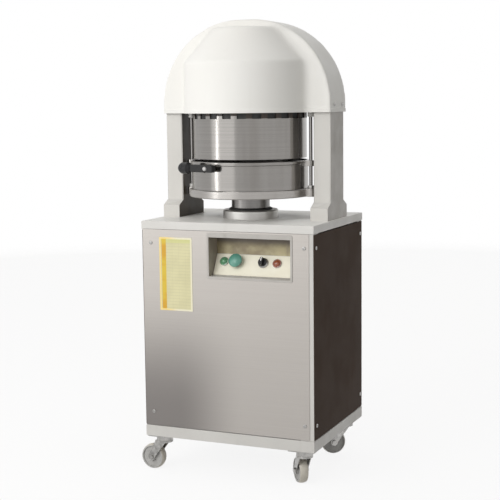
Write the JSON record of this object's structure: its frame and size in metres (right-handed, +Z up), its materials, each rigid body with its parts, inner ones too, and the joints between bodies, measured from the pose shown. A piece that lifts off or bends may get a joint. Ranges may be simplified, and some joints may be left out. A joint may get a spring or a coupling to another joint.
{
  "type": "dough divider",
  "caption": "Floor-standing electric dough divider: a ram lifts a pan with a loose ring to a fixed drum of knives and press plates under an arched hood, on a wheeled cabinet.",
  "frame": {"origin": "on the floor under the middle of the cabinet", "axes": "+X to the machine's right as the baker faces it, +Y to its back, +Z up"},
  "size_m": [0.5626, 0.4605, 1.316],
  "materials": {
    "white_enamel": "warm white enamel, soft gloss",
    "grey_enamel": "light grey enamel",
    "brushed_sheet": "brushed stainless sheet",
    "recess_sheet": "satin stainless sheet",
    "dark_sheet": "very dark brown gloss",
    "polished_steel": "polished stainless",
    "turned_steel": "machined plate",
    "hard_chrome": "hard chrome, satin",
    "cast_grey": "machined casting",
    "bronze": "bearing bronze",
    "seal_rubber": "nitrile",
    "zinc_steel": "zinc plated",
    "spring_steel": "spring steel",
    "press_plastic": "food grade plastic",
    "cap_plastic": "white plastic",
    "black_plastic": "black plastic",
    "black_steel": "black finish",
    "switch_plastic": "black plastic",
    "control_cream": "cream enamel",
    "chart_print": "printed sheet",
    "teal_plastic": "teal green plastic",
    "green_lens": "green lens",
    "red_lens": "red lens",
    "wheel_grey": "grey non-marking tread",
    "tank_paint": "dark grey enamel",
    "motor_paint": "blue grey enamel",
    "block_steel": "machined block",
    "box_grey": "grey plastic"
  },
  "bodies": {
    "cabinet": {"base_frame": "grey_enamel", "bottom_plate": "recess_sheet", "cable_gland": "switch_plastic", "caster_plates": "zinc_steel", "chart_plate": "chart_print", "contact_blocks": "switch_plastic", "control_bezel": "recess_sheet", "control_collars": "zinc_steel", "control_panel": "control_cream", "control_tray": "recess_sheet", "corner_posts": "grey_enamel", "crosshead": "cast_grey", "cutter_drum": "polished_steel", "electric_box": "box_grey", "front_panel": "brushed_sheet", "green_lamp": "green_lens", "guide_bush": "bronze", "head_plate": "turned_steel", "hood": "white_enamel", "hood_screws": "zinc_steel", "knife_basket": "polished_steel", "left_post": "white_enamel", "left_side_panel": "dark_sheet", "oil_tank": "tank_paint", "panel_screws": "zinc_steel", "press_springs": "spring_steel", "pressure_pipe": "block_steel", "pump_motor": "motor_paint", "ram_cylinder": "cast_grey", "rear_panel": "brushed_sheet", "red_lamp": "red_lens", "right_post": "white_enamel", "right_side_panel": "dark_sheet", "table_top": "grey_enamel", "tank_lid": "tank_paint", "tie_columns": "hard_chrome", "valve_block": "block_steel", "wiper_seal": "seal_rubber"},
    "ram": {"ram_column": "hard_chrome", "pan_disc": "turned_steel", "guide_rods": "hard_chrome", "rod_nuts": "zinc_steel", "rod_caps": "cap_plastic"},
    "ring": {"pan_ring": "polished_steel", "lever_screw": "zinc_steel"},
    "lever": {"ring_lever": "black_steel", "lever_knob": "black_plastic"},
    "press_head": {"press_plates": "press_plastic", "pressure_plate": "turned_steel"},
    "start_push": {"start_button": "teal_plastic"},
    "selector": {"selector_knob": "black_plastic"},
    "front_left_swivel": {"front_left_fork": "zinc_steel"},
    "front_left_roller": {"front_left_wheel": "wheel_grey"},
    "front_right_swivel": {"front_right_fork": "zinc_steel"},
    "front_right_roller": {"front_right_wheel": "wheel_grey"},
    "back_left_swivel": {"back_left_fork": "zinc_steel"},
    "back_left_roller": {"back_left_wheel": "wheel_grey"},
    "back_right_swivel": {"back_right_fork": "zinc_steel"},
    "back_right_roller": {"back_right_wheel": "wheel_grey"}
  },
  "joints": [
    {"name": "ram_lift", "type": "slide", "parent": "cabinet", "child": "ram", "axis": [0, 0, 1], "range_m": [0, 0.084]},
    {"name": "ring_lift", "type": "slide", "parent": "ram", "child": "ring", "axis": [0, 0, 1], "range_m": [0, 0.05]},
    {"name": "lever_turn", "type": "hinge", "parent": "ring", "child": "lever", "pos_m": [-0.0535, -0.203, 0.897], "axis": [0.2924, 0.9563, 0], "range_deg": [-25, 0]},
    {"name": "plate_lift", "type": "slide", "parent": "cabinet", "child": "press_head", "axis": [0, 0, 1], "range_m": [0, 0.05], "stiffness_N_per_m": 3000, "springref_m": -0.03, "deforming": ["press_springs"]},
    {"name": "start_press", "type": "slide", "parent": "cabinet", "child": "start_push", "axis": [0, 0.879, -0.4768], "range_m": [0, 0.005], "stiffness_N_per_m": 600, "springref_m": -0.004},
    {"name": "selector_turn", "type": "hinge", "parent": "cabinet", "child": "selector", "pos_m": [0.098, -0.17123, 0.63087], "axis": [0, -0.879, 0.4768], "range_deg": [-45, 45]},
    {"name": "front_left_turn", "type": "hinge", "parent": "cabinet", "child": "front_left_swivel", "pos_m": [-0.221, -0.178, 0.092], "axis": [0, 0, 1], "continuous": true},
    {"name": "front_left_spin", "type": "hinge", "parent": "front_left_swivel", "child": "front_left_roller", "pos_m": [-0.25895, -0.17601, 0.0375], "axis": [-0.0523, -0.9986, 0], "continuous": true},
    {"name": "front_right_turn", "type": "hinge", "parent": "cabinet", "child": "front_right_swivel", "pos_m": [0.221, -0.178, 0.092], "axis": [0, 0, 1], "continuous": true},
    {"name": "front_right_spin", "type": "hinge", "parent": "front_right_swivel", "child": "front_right_roller", "pos_m": [0.19761, -0.14806, 0.0375], "axis": [-0.788, -0.6157, 0], "continuous": true},
    {"name": "back_left_turn", "type": "hinge", "parent": "cabinet", "child": "back_left_swivel", "pos_m": [-0.221, 0.178, 0.092], "axis": [0, 0, 1], "continuous": true},
    {"name": "back_left_spin", "type": "hinge", "parent": "back_left_swivel", "child": "back_left_roller", "pos_m": [-0.19065, 0.15513, 0.0375], "axis": [0.6018, 0.7986, 0], "continuous": true},
    {"name": "back_right_turn", "type": "hinge", "parent": "cabinet", "child": "back_right_swivel", "pos_m": [0.221, 0.178, 0.092], "axis": [0, 0, 1], "continuous": true},
    {"name": "back_right_spin", "type": "hinge", "parent": "back_right_swivel", "child": "back_right_roller", "pos_m": [0.18877, 0.15786, 0.0375], "axis": [0.5299, -0.848, 0], "continuous": true}
  ]
}
